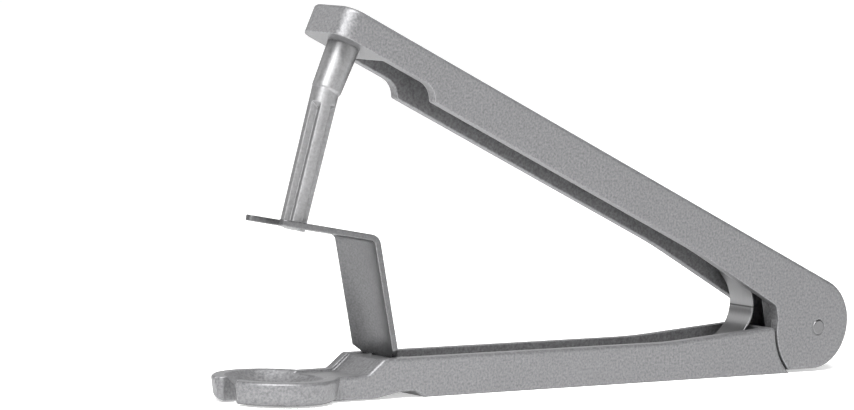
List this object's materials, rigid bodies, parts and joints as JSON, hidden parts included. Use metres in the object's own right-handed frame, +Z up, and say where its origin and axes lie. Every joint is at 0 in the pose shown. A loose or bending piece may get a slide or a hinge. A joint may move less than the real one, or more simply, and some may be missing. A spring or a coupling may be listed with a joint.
{
  "type": "cherry pitter",
  "caption": "Hand-held cherry pitter: two cast channel levers on a hinge pin, opened by a leaf spring, with a fluted plunger over a slotted fruit cup and a forked stripper.",
  "frame": {"origin": "middle of the footprint of the open tool, on the flat bottom that it stands on", "axes": "+Z up, the fruit cup and the nose towards -X, the hinge towards +X; the hinge pin runs along Y and the XZ plane is the mirror plane"},
  "size_m": [0.1652, 0.0262, 0.0804],
  "materials": {
    "casting": "satin, fine cast grain",
    "plunger": "satin, smooth",
    "stripper": "satin, rolled strip",
    "spring": "satin",
    "pin": "satin"
  },
  "bodies": {
    "lower": {"lower_lever": "casting", "stripper_fork": "stripper", "leaf_spring": "spring"},
    "lever": {"upper_lever": "casting", "plunger": "plunger", "hinge_pin": "pin"}
  },
  "joints": [
    {"name": "lever_hinge", "type": "hinge", "parent": "lower", "child": "lever", "pos_m": [0.0734, 0, 0.0099], "axis": [0, -1, 0], "range_deg": [0, 14.9], "stiffness_Nm_per_rad": 1.2, "springref_deg": -11.46, "deforming": ["leaf_spring"]}
  ]
}
